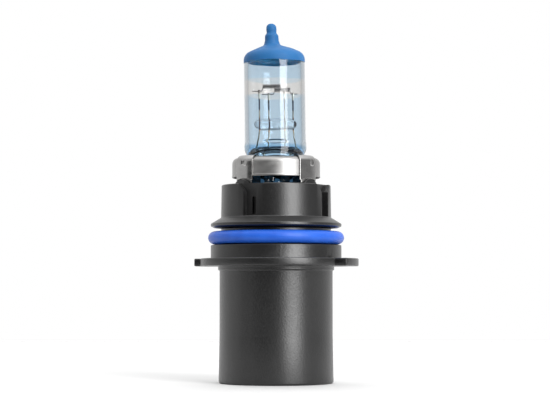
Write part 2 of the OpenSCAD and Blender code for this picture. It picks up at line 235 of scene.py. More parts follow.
def sweep(name, path, radii, sides=16):
    """A round bar along a path; radii is one radius or one for each point."""
    path = [Vector(p) for p in path]
    if not isinstance(radii, (list, tuple)):
        radii = [radii] * len(path)
    rings = []
    tangent = (path[1] - path[0]).normalized()
    side = tangent.cross(Vector((0, 1, 0.3))).normalized()
    for i, point in enumerate(path):
        before, after = path[max(i - 1, 0)], path[min(i + 1, len(path) - 1)]
        tangent = (after - before).normalized()
        side = (side - tangent * side.dot(tangent)).normalized()
        up = tangent.cross(side)
        rings.append([
            point + (side * math.cos(a) + up * math.sin(a)) * radii[i]
            for a in angles(sides)
        ])
    return loft(name, rings)


def smooth_path(points, radius, steps=6):
    """A path whose corners are rounded to this radius where there is room."""
    path = [Vector(points[0])]
    for a, b, c in zip(points, points[1:], points[2:]):
        a, b, c = Vector(a), Vector(b), Vector(c)
        turn = (a - b).angle(c - b)
        room = min((a - b).length, (c - b).length) * 0.45
        r = min(radius, room * math.tan(turn / 2))
        path += corner(a, b, c, r, steps)
    return path + [Vector(points[-1])]


def extrude(name, outline, thickness):
    """A plate of this outline in X and Y, with its middle at z = 0."""
    n = len(outline)
    verts = [(x, y, s * thickness / 2) for s in (-1, 1) for x, y in outline]
    faces = [(k, (k + 1) % n, n + (k + 1) % n, n + k) for k in range(n)]
    return make(name, verts, faces + [list(range(n)), list(range(n, 2 * n))])


def block(name, low, high):
    """A box between two corners."""
    outline = [(low[0], low[1]), (high[0], low[1]), (high[0], high[1]), (low[0], high[1])]
    piece = extrude(name, outline, high[2] - low[2])
    return move(piece, Matrix.Translation((0, 0, (low[2] + high[2]) / 2)))


def move(piece, *matrices):
    """Moves the mesh itself by each matrix in turn."""
    for matrix in matrices:
        piece.data.transform(matrix)
    return piece


def turned(bearing):
    return Matrix.Rotation(math.radians(bearing), 4, "Z")


def bake_modifiers(piece):
    bpy.context.view_layer.update()
    evaluated = piece.evaluated_get(bpy.context.evaluated_depsgraph_get())
    mesh = bpy.data.meshes.new_from_object(evaluated)
    piece.modifiers.clear()
    piece.data = mesh
    return piece


def soften(piece, width, segments=2, angle=32):
    """Rounds the mesh's sharp edges."""
    bevel = piece.modifiers.new("edges", "BEVEL")
    bevel.width = width
    bevel.segments = segments
    bevel.limit_method = "ANGLE"
    bevel.angle_limit = math.radians(angle)
    bevel.use_clamp_overlap = True
    return bake_modifiers(piece)


def combine(piece, operation, tools):
    """Exact boolean with each tool in turn, which is then gone."""
    for tool in tools:
        step = piece.modifiers.new("boolean", "BOOLEAN")
        step.operation = operation
        step.solver = "EXACT"
        step.object = tool
        bake_modifiers(piece)
        bpy.data.objects.remove(tool)
    return piece


def merge(piece, others):
    """Joins other objects' meshes into this one, as they are."""
    with bpy.context.temp_override(
        active_object=piece, object=piece, selected_editable_objects=[piece, *others]
    ):
        bpy.ops.object.join()
    return piece


def settle(piece, material, slot, *nodes, angle=38):
    """Brings a finished piece to metres and hands it to the frame."""
    piece.data.transform(Matrix.Scale(MM, 4))
    piece.data.shade_smooth()
    piece.data.set_sharp_from_angle(angle=math.radians(angle))
    piece.data.materials.clear()
    piece.data.materials.append(material)
    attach(piece, "root")
    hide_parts(*nodes)
    return piece


def ease(t):
    t = max(0.0, min(1.0, t))
    return t * t * (3 - 2 * t)


def between(low, high, t):
    return low + (high - low) * t


LEANING = (
    Matrix.Translation((0, 0, PINCH_Z))
    @ Matrix.Rotation(math.radians(-LEAN), 4, "Y")
    @ Matrix.Translation((0, 0, -PINCH_Z))
)


# ---- Material kit

class Shader:
    """A Principled material and short ways to add its nodes."""

    def __init__(self, name, **values):
        self.material = bpy.data.materials.new(name)
        self.material.use_nodes = True
        self.tree = self.material.node_tree
        self.bsdf = self.tree.nodes["Principled BSDF"]
        for key, value in values.items():
            self.bsdf.inputs[key.replace("_", " ")].default_value = value
        self.place = self.add("ShaderNodeTexCoord").outputs["Object"]

    def add(self, kind, **inputs):
        node = self.tree.nodes.new(kind)
        for key, value in inputs.items():
            self.put(node, key.replace("_", " "), value)
        return node

    def put(self, node, key, value):
        if isinstance(value, bpy.types.NodeSocket):
            self.tree.links.new(value, node.inputs[key])
        else:
            node.inputs[key].default_value = value

    def noise(self, scale, detail=3.0, stretch=(1, 1, 1)):
        """Noise with this many cells in a millimetre."""
        mapping = self.add("ShaderNodeMapping", Vector=self.place)
        mapping.inputs["Scale"].default_value = [s * scale / MM for s in stretch]
        noise = self.add("ShaderNodeTexNoise", Vector=mapping.outputs[0])
        noise.inputs["Scale"].default_value = 1.0
        noise.inputs["Detail"].default_value = detail
        noise.inputs["Roughness"].default_value = 0.55
        return noise.outputs["Fac"]

    def remap(self, value, old, new):
        node = self.add("ShaderNodeMapRange", Value=value)
        for key, v in zip(("From Min", "From Max", "To Min", "To Max"), (*old, *new)):
            node.inputs[key].default_value = v
        return node.outputs[0]

    def maths(self, operation, *values):
        node = self.add("ShaderNodeMath")
        node.operation = operation
        for i, value in enumerate(values):
            if isinstance(value, bpy.types.NodeSocket):
                self.tree.links.new(value, node.inputs[i])
            else:
                node.inputs[i].default_value = value
        return node.outputs[0]

    def mix(self, factor, first, second):
        """A blend of two colours, each a value or a socket."""
        node = self.add("ShaderNodeMix", Factor=factor)
        node.data_type = "RGBA"
        for slot, value in ((6, first), (7, second)):
            if isinstance(value, bpy.types.NodeSocket):
                self.tree.links.new(value, node.inputs[slot])
            else:
                node.inputs[slot].default_value = (*value, 1)
        return node.outputs[2]

    def height(self):
        """Height above the seating face, in millimetres."""
        split = self.add("ShaderNodeSeparateXYZ", Vector=self.place)
        return self.maths("MULTIPLY", split.outputs["Z"], 1 / MM)

    def ramp(self, value, stops):
        """Colours at positions from 0 to 1."""
        node = self.add("ShaderNodeValToRGB", Fac=value)
        elements = node.color_ramp.elements
        while len(elements) < len(stops):
            elements.new(0.5)
        for element, (position, colour) in zip(elements, stops):
            element.position = position
            element.color = (*colour, 1)
        return node.outputs["Color"]

    def spread(self, noise, low, high):
        """A value between two limits where the noise is in its middle range."""
        return self.remap(noise, (0.3, 0.7), (low, high))

    def mottled(self, noise, first, second):
        """Base colour from the first to the second over the noise's middle range."""
        self.colour(self.ramp(noise, [(0.3, first), (0.7, second)]))

    def colour(self, value):
        self.tree.links.new(value, self.bsdf.inputs["Base Color"])

    def roughness(self, value):
        self.tree.links.new(value, self.bsdf.inputs["Roughness"])

    def bump(self, value, depth):
        """Bump of this depth in millimetres."""
        node = self.add("ShaderNodeBump", Height=value)
        node.inputs["Strength"].default_value = 1.0
        node.inputs["Distance"].default_value = depth * MM
        self.tree.links.new(node.outputs[0], self.bsdf.inputs["Normal"])


TUBE_TINT = (0.69, 0.785, 0.857)
BAND_TINT = (0.84, 0.84, 0.835)


def tinted_glass():
    """Clear tube glass, tinted blue but for a band round the filaments, going a deeper blue towards the
    pressed end and painted near black as shade within the holder and the gap below it.
    """
    s = Shader("tinted_glass", Transmission_Weight=1.0, IOR=1.48, Roughness=0.0)
    wobble = s.spread(s.noise(0.08, 2), -0.45, 0.45)
    z = s.maths("ADD", s.height(), wobble)
    soft = 0.12
    above = s.remap(z, (BAND_Z[0] - soft, BAND_Z[0] + soft), (0, 1))
    below = s.remap(z, (BAND_Z[1] - soft, BAND_Z[1] + soft), (1, 0))
    band = s.maths("MULTIPLY", above, below)
    upper = s.mix(band, TUBE_TINT, BAND_TINT)
    # Towards the pressed end the glass goes a deeper blue, then near black below the holder's mouth: that
    # near black is painted shade of the holder and the gap under it.
    low, high = 19.0, 29.8
    pressed_end_tint_and_shade = s.ramp(s.remap(z, (low, high), (0, 1)), [
        (0.0, (0.02, 0.06, 0.11)), ((23.5 - low) / (high - low), (0.03, 0.09, 0.17)),
        ((25.5 - low) / (high - low), (0.35, 0.56, 0.75)), (0.94, (0.4, 0.6, 0.78)), (1, TUBE_TINT)])
    s.colour(s.mix(s.remap(z, (high - 0.1, high), (0, 1)), pressed_end_tint_and_shade, upper))
    return s.material


def clear_glass():
    s = Shader("clear_glass", Transmission_Weight=1.0, IOR=1.48, Roughness=0.0)
    s.mottled(s.noise(0.3), (0.87, 0.9, 0.92), (0.93, 0.95, 0.96))
    return s.material


def blue_coating(name, base, metallic=0.0):
    """Fired lacquer, a little thicker in some places than in others; a bright metallic copy of it paints
    light on the coat's inner side.
    """
    s = Shader(name, Metallic=metallic, IOR=1.45, Specular_IOR_Level=0.25)
    s.mottled(s.noise(0.25, 4, (1, 1, 0.5)), tuple(c * 0.88 for c in base), base)
    s.roughness(s.spread(s.noise(0.8), 0.5, 0.6))
    s.bump(s.noise(0.5, 3), 0.04)
    return s.material


def tungsten():
    s = Shader("tungsten", Metallic=1.0)
    s.mottled(s.noise(2.0), (0.07, 0.07, 0.075), (0.2, 0.2, 0.21))
    s.roughness(s.spread(s.noise(4.0), 0.35, 0.55))
    s.bump(s.noise(9, 2), 0.008)
    return s.material


def molybdenum():
    """Drawn wire that the seal, the bridge and the filament's heat colour at their own heights."""
    low, high = 29.0, 44.0
    tan, dark, rust = (0.46, 0.41, 0.33), (0.045, 0.05, 0.07), (0.24, 0.12, 0.07)
    cream, gold, grey = (0.74, 0.7, 0.6), (0.85, 0.48, 0.2), (0.2, 0.18, 0.17)
    s = Shader("molybdenum", Metallic=1.0)
    z = s.maths("ADD", s.height(), s.spread(s.noise(1.2, 2), -0.25, 0.25))
    s.colour(s.ramp(s.remap(z, (low, high), (0, 1)), [((at - low) / (high - low), colour) for at, colour in (
        (29.2, (0.5, 0.46, 0.38)), (33.0, tan), (33.35, gold), (33.6, (0.1, 0.07, 0.07)),
        (36.3, (0.1, 0.08, 0.08)), (36.7, rust), (37.1, tan), (38.5, tan), (38.8, dark),
        (41.4, dark), (41.7, cream), (42.8, cream), (43.3, grey))]))
    s.roughness(s.spread(s.noise(2.5), 0.3, 0.45))
    s.bump(s.noise(6, 2, (1, 1, 0.1)), 0.01)
    return s.material


def plain_molybdenum():
    s = Shader("plain_molybdenum", Metallic=1.0)
    s.mottled(s.noise(0.8), (0.4, 0.38, 0.36), (0.56, 0.54, 0.5))
    s.roughness(s.spread(s.noise(2.5), 0.3, 0.42))
    s.bump(s.noise(6, 2, (1, 1, 0.1)), 0.008)
    return s.material


def foil_metal():
    s = Shader("foil", Metallic=1.0)
    s.mottled(s.noise(0.9), (0.5, 0.5, 0.52), (0.66, 0.66, 0.68))
    s.roughness(s.spread(s.noise(3.0, 3, (0.2, 1, 1)), 0.25, 0.45))
    s.bump(s.noise(4, 3, (0.2, 1, 1)), 0.01)
    return s.material


def stainless(name, base, rough, grain):
    """Pressed sheet with fine lines round the axis, faint smears and tiny pits."""
    s = Shader(name, Metallic=1.0)
    smear = s.noise(0.35, 4, (1, 1, 2.5))
    s.mottled(smear, tuple(c * 0.86 for c in base), base)
    lines = s.noise(1.0, 4, (0.25, 0.25, 9))
    s.roughness(s.spread(smear, *rough))
    s.bump(lines, grain)
    return s.material


def black_nylon():
    """Moulded black plastic with a fine spark-eroded grain."""
    s = Shader("black_nylon", IOR=1.54, Specular_IOR_Level=0.68)
    s.mottled(s.noise(0.4, 5), (0.0026, 0.0026, 0.0027), (0.0044, 0.0044, 0.0046))
    s.roughness(s.spread(s.noise(1.5, 4), 0.31, 0.37))
    s.bump(s.noise(2.2, 3), 0.035)
    return s.material


def blue_silicone():
    s = Shader("blue_silicone", IOR=1.43, Specular_IOR_Level=0.4)
    s.mottled(s.noise(0.3, 4), (0.012, 0.085, 0.48), (0.018, 0.11, 0.56))
    s.roughness(s.spread(s.noise(1.0, 3), 0.36, 0.46))
    s.bump(s.noise(2.0, 3), 0.008)
    return s.material


def tinned_brass():
    s = Shader("tinned_brass", Metallic=1.0)
    s.colour(s.ramp(s.noise(0.4, 4), [(0.35, (0.62, 0.5, 0.27)), (0.65, (0.74, 0.7, 0.62))]))
    s.roughness(s.spread(s.noise(1.2, 4), 0.22, 0.38))
    s.bump(s.noise(2, 3, (1, 1, 0.12)), 0.012)
    return s.material


def sealant():
    s = Shader("sealant", IOR=1.45)
    s.mottled(s.noise(0.35, 4), (0.055, 0.055, 0.06), (0.09, 0.09, 0.1))
    s.roughness(s.spread(s.noise(0.9), 0.3, 0.5))
    s.bump(s.noise(0.6, 3), 0.06)
    return s.material


# ---- Glass capsule

def ring_section(half_x, half_y, power, z, shift=0.0):
    """Level ring that is round at power 2 and nearly a rectangle at power 9."""
    ring = []
    for a in angles(CAPSULE_SIDES):
        c, s = math.cos(a), math.sin(a)
        r = (abs(c / half_x) ** power + abs(s / half_y) ** power) ** (-1 / power)
        ring.append(Vector((r * c + shift, r * s, z)))
    return ring


def tip_offset(z):
    """Sideways place of the exhaust tip's axis, blended in above the dome's crown."""
    drift = TIP_SHIFT + math.tan(math.radians(TIP_LEAN)) * max(z - DOME_Z, 0)
    return -drift * ease((z - DOME_Z) / 1.3)


def dome_outline(grow):
    """Outer (radius, z) outline from the tube's end to the end of the exhaust tip."""
    return rounded([
        (GLASS_R + grow, TUBE_TOP, 0),
        (GLASS_R + grow, 53.3 + grow, 2.4),
        (5.1, 54.65 + grow, 4.0),
        (2.1 + grow, 55.7 + grow, 0.9),
        (1.76 + grow, 57.0, 1.0),
        (1.7 + grow, 58.3, 0.7),
        (1.2 + grow, 59.0, 0.5),
        (1.3 + grow, 59.9, 0.8),
        (1.15 + grow, TIP_Z + grow, 1.1),
        (0.02, TIP_Z + grow, 0),
    ], 8, closed=False)


def outer_skin():
    """The tube from its pressed lower end to the exhaust tip."""
    rings = []
    heights = [15.0, 15.15, 15.5] + even(16, 24.5, 12) + even(24.8, 32, 36) + even(33, 50, 8)
    for z in heights:
        front = ease((z - ROUND_FRONT_Z) / 2.5)
        side = ease((z - ROUND_SIDE_Z) / 2.6)
        bulge = 0.15 * math.exp(-((z - 29.0) / 1.2) ** 2)
        edge = 0.35 * (1 - ease((z - PINCH_Z) / 0.5))
        half_x = between(7.25, GLASS_R, side) + bulge - edge
        half_y = between(PINCH_HALF_T, GLASS_R, front) - edge
        rings.append(ring_section(half_x, half_y, between(9, 2, front), z))
    for r, z in dome_outline(0):
        rings.append(ring_section(r, r, 2, z, shift=tip_offset(z)))
    skin = loft("capsule", rings)
    press_marks(skin)
    return skin


def press_marks(skin):
    """Ribs and pits that the pinching jaws leave on the two pressed faces."""
    for v in skin.data.vertices:
        x, y, z = v.co
        fade = ease((z - 15.6) / 0.8) * (1 - ease((z - 25.0) / 1.2)) * ease((6.9 - abs(x)) / 0.8)
        ribs = math.sin(x * 2.3 + 0.7) * 0.16 + math.sin(z * 2.9 + x * 0.8) * 0.09
        v.co.y = y + math.copysign(ribs * fade, y) if abs(y) > 0.5 else y


def inner_skin():
    """The gas space: its floor closes to a slit that arches up, with a lens in the front wall above."""
    top = GLASS_R - WALL
    lens_half, lens_z, lens_high, lens_depth = 2.9, 30.05, 0.5, 0.3
    rings = []
    for t in even(0, 1, 26):
        open_y = math.sqrt(1 - (1 - t) ** 2)
        ring = ring_section(between(6.3, top, open_y), between(0.15, top, open_y), 2,
                            between(FLOOR_Z, FLOOR_EDGE_Z, t))
        for p in ring:
            p.z += (1 - t) * 0.7 * (1 - (p.x / 6.4) ** 2)
        rings.append(ring)
    for z in even(29, 31.2, 24):
        ring = ring_section(top, top, 2, z)
        for p in ring:
            away = (p.x / lens_half) ** 2 + ((z - lens_z) / lens_high) ** 2
            p.y += lens_depth * math.exp(-away ** 2) * (p.y < 0)
        rings.append(ring)
    rings += [ring_section(top, top, 2, z) for z in even(32, 50, 6)]
    dome = rounded([
        (top, TUBE_TOP, 0), (top, 52.6, 1.3), (5.2, 53.6, 3.0), (1.6, 54.6, 0.8),
        (0.7, 56.2, 0.4), (0.02, 57.0, 0),
    ], 6, closed=False)
    rings += [ring_section(r, r, 2, z, shift=tip_offset(z)) for r, z in dome]
    skin = loft("gas_space", rings)
    recalculate(skin, inside=True)
    return skin


def glass_capsule():
    capsule = merge(outer_skin(), [inner_skin()])
    move(capsule, LEANING)
    settle(capsule, tinted_glass(), "tinted_glass", "glass_envelope", angle=60)


def coating(name, outer, inner, material):
    """One layer of the dip coat over the dome and tip; its lower edge runs a little uneven."""
    rings = []
    for grow, lip in ((inner, 0.02), (inner, -0.01), (outer, 0.0), (outer, 0.06)):
        ring = ring_section(GLASS_R + grow, GLASS_R + grow, 2, COAT_Z + lip)
        for a, p in zip(angles(CAPSULE_SIDES), ring):
            p.z += 0.05 * math.sin(3 * a + 1) + 0.03 * math.sin(7 * a)
        rings.append(ring)
    outside, inside = dome_outline(outer)[1:], dome_outline(inner)[1:]
    rings += [ring_section(r, r, 2, z, shift=tip_offset(z)) for r, z in outside + inside[::-1]]
    rings.append(rings[0])
    coat = loft(name, rings, capped=False)
    move(coat, LEANING)
    settle(coat, material, "blue_coating", "tip_coating", angle=60)


# ---- Filaments, leads and bridge

def filament(name, node, x0, x1, z_coil, left, right, material):
    """Fine coil about X with a leg down to the lead at each end."""
    radius, turns, steps = 0.52, round((x1 - x0) / 0.3), 14
    wire_r, leg_r = 0.075, 0.11
    y = left[2] * ROW_Y - COIL_SET
    total = turns * steps
    coil = [
        Vector((
            between(x0, x1, i / total),
            y + radius * math.cos(2 * math.pi * i / steps - math.pi / 2),
            z_coil + radius * math.sin(2 * math.pi * i / steps - math.pi / 2),
        ))
        for i in range(total + 1)
    ]
    wire_z = left[3]
    start = smooth_path([
        (left[0] - 1.75, y, wire_z + 0.05), (left[0] + 0.2, y, wire_z),
        (x0 - 0.22, y, wire_z + 0.02), (x0 - 0.02, y, z_coil - radius)], 0.25)
    wire_z = right[3]
    end = smooth_path([
        (x1 + 0.02, y, z_coil - radius), (x1 + 0.24, y, wire_z + 0.02),
        (right[0] - 0.2, y, wire_z), (right[0] + 1.2, y, wire_z + 0.03)], 0.25)
    radii = [leg_r] * (len(start) - 1) + [wire_r] * len(coil) + [leg_r] * (len(end) - 1)
    wire = sweep(name, start[:-1] + coil + end[1:], radii, 8)
    move(wire, LEANING)
    settle(wire, material, "tungsten", node, angle=60)


def lead(name, spec, material):
    """Lead that bends out of the pressed seal and ends in a flat hook round the filament wire."""
    top_x, foot_x, row, wire_z = spec
    y = row * ROW_Y
    stem = smooth_path([
        (foot_x, 0, 26.6), (foot_x, 0, 29.0), (between(foot_x, top_x, 0.7), y, BEND_Z),
        (top_x, y, BRIDGE_Z[0]), (top_x, y, wire_z - 1.75)], 0.9, 8)
    stem = sweep(name, stem, LEAD_R, 20)
    front = y - COIL_SET
    half_w, thin = 0.3, 0.085
    hook = smooth_path([
        (top_x, y, wire_z - 2.2), (top_x, y - 0.02, wire_z - 1.5), (top_x, y + 0.1, wire_z + 0.05),
        (top_x, y - 0.05, wire_z + 0.33), (top_x, front - 0.12, wire_z + 0.28),
        (top_x, front - 0.2, wire_z - 0.3), (top_x, front - 0.05, wire_z - 1.2)], 0.22, 6)
    rings = []
    for i, point in enumerate(hook):
        before, after = hook[max(i - 1, 0)], hook[min(i + 1, len(hook) - 1)]
        normal = (after - before).normalized().cross(Vector((1, 0, 0)))
        width = half_w * (0.72 + 0.28 * ease(i / 4))
        rings.append([
            point + Vector((1, 0, 0)) * width * math.cos(a) + normal * thin * math.sin(a)
            for a in angles(20)
        ])
    piece = combine(stem, "UNION", [loft(name + "_hook", rings)])
    move(piece, LEANING)
    settle(piece, material, "molybdenum", name, angle=50)


def glass_bridge():
    """Two fused glass rods, uneven along their length, with fire-rounded ends."""
    low, high = BRIDGE_Z
    mid_z, half_z = (low + high) / 2, (high - low) / 2
    half_x, half_y, mid_x = 5.55, 1.8, 0.1
    rings = []
    for t in even(-1, 1, 72):
        x = half_x * math.sin(t * math.pi / 2)
        cap = max(1 - abs(x / half_x) ** 5, 0.0004) ** 0.5
        sag = 0.07 * math.sin(x * 0.9 + 0.5) + 0.04 * math.sin(x * 2.3)
        thick = 1 + 0.03 * math.sin(x * 1.4 + 1)
        waist = between(1, 0.82, 0.5 + 0.5 * math.cos(x * 1.35))
        ring = []
        for a in angles(64):
            c, s = math.cos(a), math.sin(a)
            r = (abs(c) ** 3 + abs(s) ** 3) ** (-1 / 3)
            ring.append(Vector((
                mid_x + x, half_y * cap * r * c * waist, mid_z + sag + half_z * cap * thick * r * s * 0.97)))
        rings.append(ring)
    rod = loft("bridge", rings)
    move(rod, LEANING)
    settle(rod, clear_glass(), "clear_glass", "glass_bridge", angle=60)


def outer_lead(name, foot_x, blade_x, material):
    """Lead below a foil, flattened where it is welded to its blade."""
    side = 1 if foot_x > blade_x else -1
    x = blade_x + side * 0.55
    foot = LEANING @ Vector((foot_x, 0, 19.5))
    bend = LEANING @ Vector((foot_x, 0, 14.0))
    path = smooth_path([foot, bend, (x, 0, 10.4), (x, 0, 6.1)], 1.2, 8)
    rings = []
    for i, point in enumerate(path):
        before, after = path[max(i - 1, 0)], path[min(i + 1, len(path) - 1)]
        tangent = (after - before).normalized()
        flat = ease((11.2 - point.z) / 1.2)
        across, thin = between(0.35, 0.68, flat), between(0.35, 0.15, flat)
        normal = tangent.cross(Vector((0, 1, 0))).normalized()
        rings.append([
            point + Vector((0, 1, 0)) * across * math.cos(a) + normal * thin * math.sin(a)
            for a in angles(24)
        ])
    settle(loft(name, rings), material, "molybdenum", name, angle=50)


# ---- Metal holder

def cup(material):
    """Drawn ring with a rounded shoulder, a beaded lower edge and four legs."""
    top, low = CUP_HIGH.z, 20.95
    ring = lathe("cup", rounded([
        (CUP_R - SHEET, low, 0.12), (CUP_R, low, 0.15), (CUP_R, low + 0.42, 0.12),
        (CUP_R - 0.06, low + 0.6, 0.2), (CUP_R - 0.06, top, 1.5), (MOUTH_R, top, 0.14),
        (MOUTH_R, top - SHEET, 0.12), (CUP_R - SHEET - 0.04, top - SHEET, 1.1),
        (CUP_R - SHEET - 0.04, low + 0.6, 0.2), (CUP_R - SHEET, low + 0.42, 0.12),
    ], 5))
    legs = []
    for bearing in TAB_BEARINGS:
        outline = [(CUP_R - SHEET + 0.02, CUP_LOW.z), (CUP_R - 0.09, CUP_LOW.z),
                   (CUP_R - 0.09, low + 1), (CUP_R - SHEET + 0.02, low + 1)]
        leg = lathe("leg", outline, even(bearing - LEG_HALF, bearing + LEG_HALF, 16), True)
        legs.append(soften(leg, 0.1))
    settle(combine(ring, "UNION", legs), material, "stainless", "bulb_cup")


def tab(bearing, arch, ring_bearing, slot_bearing):
    """Sheet tab over the cup's mouth and down its side, on a fine grid for its weld mark."""
    in_r, out_r = MOUTH_R - SHEET, CUP_R + SHEET
    top, low = CLIP_HIGH.z, CLIP_LOW.z
    outside = rounded([
        (in_r, 23.6, 0), (in_r, top, 0.5), (out_r, top, 1.75), (out_r, low, 0)], 10, closed=False)
    wall = even(low, 24.7, 46)
    outer = outside[:-1] + [Vector((out_r, z)) for z in reversed(wall[:-1])]
    inside = rounded([
        (MOUTH_R, 23.6, 0), (MOUTH_R, top - SHEET, 0.12), (CUP_R, top - SHEET, 1.35),
        (CUP_R, low, 0)], 10, closed=False)
    inner = inside[:-1] + [Vector((CUP_R, z)) for z in reversed(wall[:-1])]
    piece = lathe("tab", outer + inner[::-1], even(bearing - TAB_HALF, bearing + TAB_HALF, 56), True)
    for v in piece.data.vertices:
        x, y, z = v.co
        angle = math.degrees(math.atan2(x, -y))
        off = (angle - bearing + 180) % 360 - 180
        if z < low + 1.6 and math.hypot(x, y) > CUP_R - 0.1:
            v.co.z += arch * (1 - (off / TAB_HALF) ** 2) * (1 - ease((z - low) / 1.6))
        if math.hypot(x, y) > out_r - 0.05:
            across = math.radians((angle - ring_bearing + 180) % 360 - 180) * out_r
            away = math.hypot(across, z - 24.55)
            rise = 0.07 * math.exp(-((away - 0.75) / 0.13) ** 2) - 0.05 * math.exp(-(away / 0.5) ** 4)
            if slot_bearing is not None:
                beside = math.radians((angle - slot_bearing + 180) % 360 - 180) * out_r
                rise -= 0.36 * math.exp(-(beside / 0.2) ** 4 - ((z - 24.5) / 0.6) ** 6)
            r = math.hypot(x, y)
            v.co.x, v.co.y = x * (r + rise) / r, y * (r + rise) / r
    return soften(piece, 0.07, 2, 50)


def clip(material):
    """Spring ring inside the cup's mouth with four tabs folded over the outside."""
    in_r = MOUTH_R - SHEET
    ring = lathe("clip", rounded([
        (in_r + 0.02, 23.62, 0.08), (MOUTH_R - 0.02, 23.62, 0.08),
        (MOUTH_R - 0.02, 24.78, 0.08), (in_r + 0.02, 24.78, 0.08)], 3))
    marks = {-45: (-42.6, -47.6), 45: (50.8, None), 135: (138, None), 225: (222, None)}
    tabs = [tab(b, 0.6, *marks[b]) for b in TAB_BEARINGS]
    settle(combine(ring, "UNION", tabs), material, "stainless_bright", "retainer_clip")


def pinch_holder(material):
    """Web across the cup with a slot, and two jaws that grip the pressed glass."""
    r = CUP_R - SHEET - 0.02
    low, top = CLAMP_LOW.z, 23.2
    web = lathe("web", rounded([
        (r - SHEET, low, 0.1), (r, low, 0.1), (r, top, 0.5), (0, top, 0),
        (0, top - SHEET, 0), (r - SHEET, top - SHEET, 0.3)], 4))
    jaws = soften(block(
        "jaws", (-5.5, -PINCH_HALF_T - SHEET, top - 0.3), (5.5, PINCH_HALF_T + SHEET, CLAMP_HIGH.z)), 0.15, 3)
    slot = block("slot", (-PINCH_HALF_W - 0.3, -PINCH_HALF_T - 0.02, low - 1),
                 (PINCH_HALF_W + 0.3, PINCH_HALF_T + 0.02, CLAMP_HIGH.z + 1))
    holder = combine(combine(web, "UNION", [jaws]), "DIFFERENCE", [slot])
    settle(holder, material, "stainless", "pinch_clamp")


# ---- Base

def flange():
    """Keyed flange plate: a disc with three lugs and a notch beside two of them."""
    outline = []
    for first, last, radius in FLANGE_SPANS:
        steps = max(2, round((last - first) / 2))
        outline += [polar(radius, b, 0).xy for b in even(first + 0.05, last - 0.05, steps)]
    plate = extrude("flange", outline, 2.0)
    soften(plate, 0.28, 3, 25)
    return move(plate, Matrix.Translation((0, 0, -1.0)))


def boss(bearing):
    """Arched pad under a clip tab."""
    half, rise, arch_r = 2.3, 1.15, 2.9
    outline = [(-half, -1.2), (half, -1.2)]
    outline += [
        (arch_r * math.sin(a), rise - arch_r + arch_r * math.cos(a))
        for a in even(math.asin(half / arch_r), -math.asin(half / arch_r), 14)
    ]
    pad = soften(extrude("boss", outline, 2.1), 0.15, 2)
    return move(pad, Matrix.Rotation(math.pi / 2, 4, "X"),
                Matrix.Translation((0, -CUP_R - 0.15, BODY_Z)), turned(bearing))


def flute(bearing):
    """Cutter for an upright channel with a funnel mouth and a window in its floor."""
    floor_r, reach, half, mouth = 12.5, 3.5, 1.85, 3.7
    channel = extrude("flute", [
        (-half, 10.72), (half, 10.72), (half, BODY_Z - 2), (mouth, BODY_Z), (mouth, BODY_Z + 1),
        (-mouth, BODY_Z + 1), (-mouth, BODY_Z), (-half, BODY_Z - 2)], reach)
    move(channel, Matrix.Rotation(math.pi / 2, 4, "X"),
         Matrix.Translation((0, -floor_r - reach / 2, 0)))
    window = block("window", (-0.2, -floor_r - 1, 11.2), (1.5, -11.6, 15.6))
    combine(channel, "UNION", [window])
    return move(channel, turned(bearing))


def latch_nib():
    """Ramp on the back of the shroud that the plug's latch snaps over."""
    inner, outer = SHROUD_R - 0.9, SHROUD_R + 1.5
    nib = extrude("nib", [
        (-inner, -26.5), (-SHROUD_R - 0.05, -26.5), (-outer, -22.8), (-outer, -22.0), (-inner, -22.0)], 7.0)
    soften(nib, 0.2, 2)
    upright = Matrix.Rotation(math.pi / 2, 4, "Z") @ Matrix.Rotation(math.pi / 2, 4, "X")
    return move(nib, upright, turned(180))


def key(bearing):
    rib = block("key", (-1, -SOCKET_R - 0.6, -30), (1, -SOCKET_R + 1, -2.5))
    return move(soften(rib, 0.2, 2), turned(bearing))


def base(material):
    """Moulded body: socket and well turned with the outside, then the features that aren't round."""
    rim, under, groove = BASE_LOW.z, -3.05, 3.47
    outline = rounded([
        (0, -3, 0), (SOCKET_R, -3, 0.5), (SOCKET_R, rim + 0.7, 0.3), (SOCKET_R + 0.55, rim, 0.15),
        (SHROUD_R + 0.23, rim, 0.6), (SHROUD_R, -20, 8), (SHROUD_R, under, 0.25),
        (15.1, under, 0.2), (15.1, -1.6, 0), (SPIGOT_R, -1.6, 0), (SPIGOT_R, groove, 0.25),
        (NECK_R, groove, 0.3), (NECK_R, 7.8, 0.3), (16.2, 7.95, 0.2), (SPIGOT_R, 8.35, 0.12),
        (SPIGOT_R, 9.0, 0.25), (14.33, 10.6, 0.4), (14.2, BODY_Z, 0.3), (WELL_R, BODY_Z, 0.3),
        (WELL_R, 2, 0.4), (0, 2, 0),
    ], 5)
    line = 3.7
    bearings = even(0, 360, 216)[:-1] + even(line - 0.7, line + 0.7, 6)
    body = lathe("base", outline, sorted(set(round(b, 4) for b in bearings)))
    for v in body.data.vertices:
        bearing = math.degrees(math.atan2(v.co.x, -v.co.y))
        r = math.hypot(v.co.x, v.co.y)
        if -1.5 < v.co.z < 9.5 and r > NECK_R - 0.1:
            ridge = 0.02 * math.exp(-((bearing - line) / 0.28) ** 2)
            v.co.x, v.co.y = v.co.x * (1 + ridge / r), v.co.y * (1 + ridge / r)
    added = [flange(), latch_nib(), *map(boss, TAB_BEARINGS), *map(key, KEYS)]
    combine(body, "UNION", added)
    combine(body, "DIFFERENCE", [flute(b) for b in FLUTES])
    soften(body, 0.12, 2, 50)
    settle(body, material, "black_nylon", "base_body")


